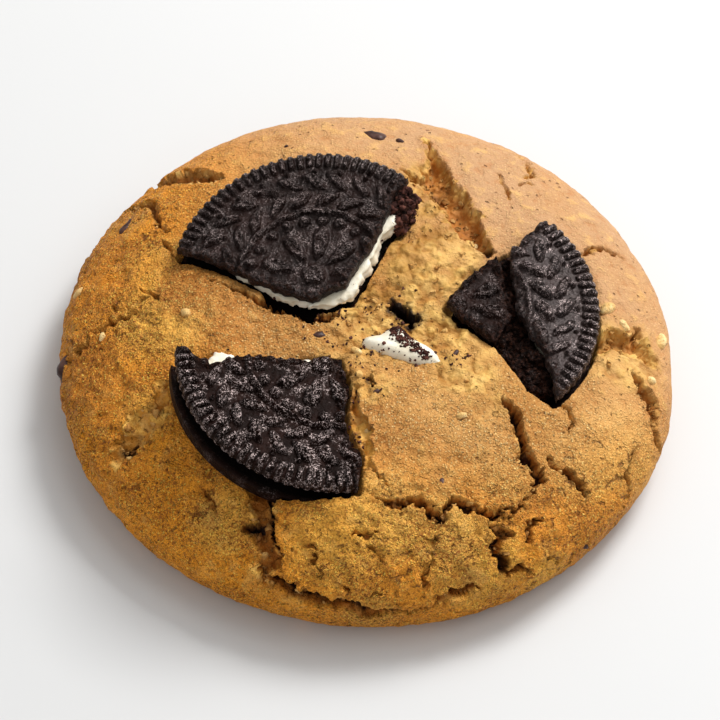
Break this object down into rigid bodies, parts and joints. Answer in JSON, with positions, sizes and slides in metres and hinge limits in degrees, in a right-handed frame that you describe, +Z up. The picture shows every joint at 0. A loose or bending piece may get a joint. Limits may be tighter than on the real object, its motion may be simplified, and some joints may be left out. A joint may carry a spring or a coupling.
{
  "type": "thick baked cookie with chocolate sandwich cookie pieces",
  "caption": "Thick round cracked drop cookie with broken chocolate sandwich cookie pieces, cream and chocolate chips baked into its top; it rests on a flat base.",
  "frame": {"origin": "middle of the flat face that the cookie rests on", "axes": "+Z up, out of the cookie's domed top; +X to the right and +Y to the back, with the front left wafer piece towards -X -Y"},
  "size_m": [0.0964, 0.0946, 0.0265],
  "materials": {
    "baked_dough": "matte, fine sandy crust, golden brown, baked dough",
    "dark_wafer": "satin, baked dark cocoa wafer",
    "white_cream": "satin, firm sugar cream",
    "dark_chocolate": "satin, baked chocolate chip",
    "nut_bits": "matte, pale chopped nut"
  },
  "bodies": {
    "root": {"dough": "baked_dough", "back_left_top_wafer": "dark_wafer", "back_left_cream": "white_cream", "back_left_base_wafer": "dark_wafer", "front_left_top_wafer": "dark_wafer", "front_left_cream": "white_cream", "front_left_base_wafer": "dark_wafer", "right_rim_wafer": "dark_wafer", "right_inner_wafer": "dark_wafer", "right_cream": "white_cream", "right_base_wafer": "dark_wafer", "cream_sliver": "white_cream", "chip_left": "dark_chocolate", "chip_back_left": "dark_chocolate", "chip_back": "dark_chocolate"}
  },
  "joints": []
}
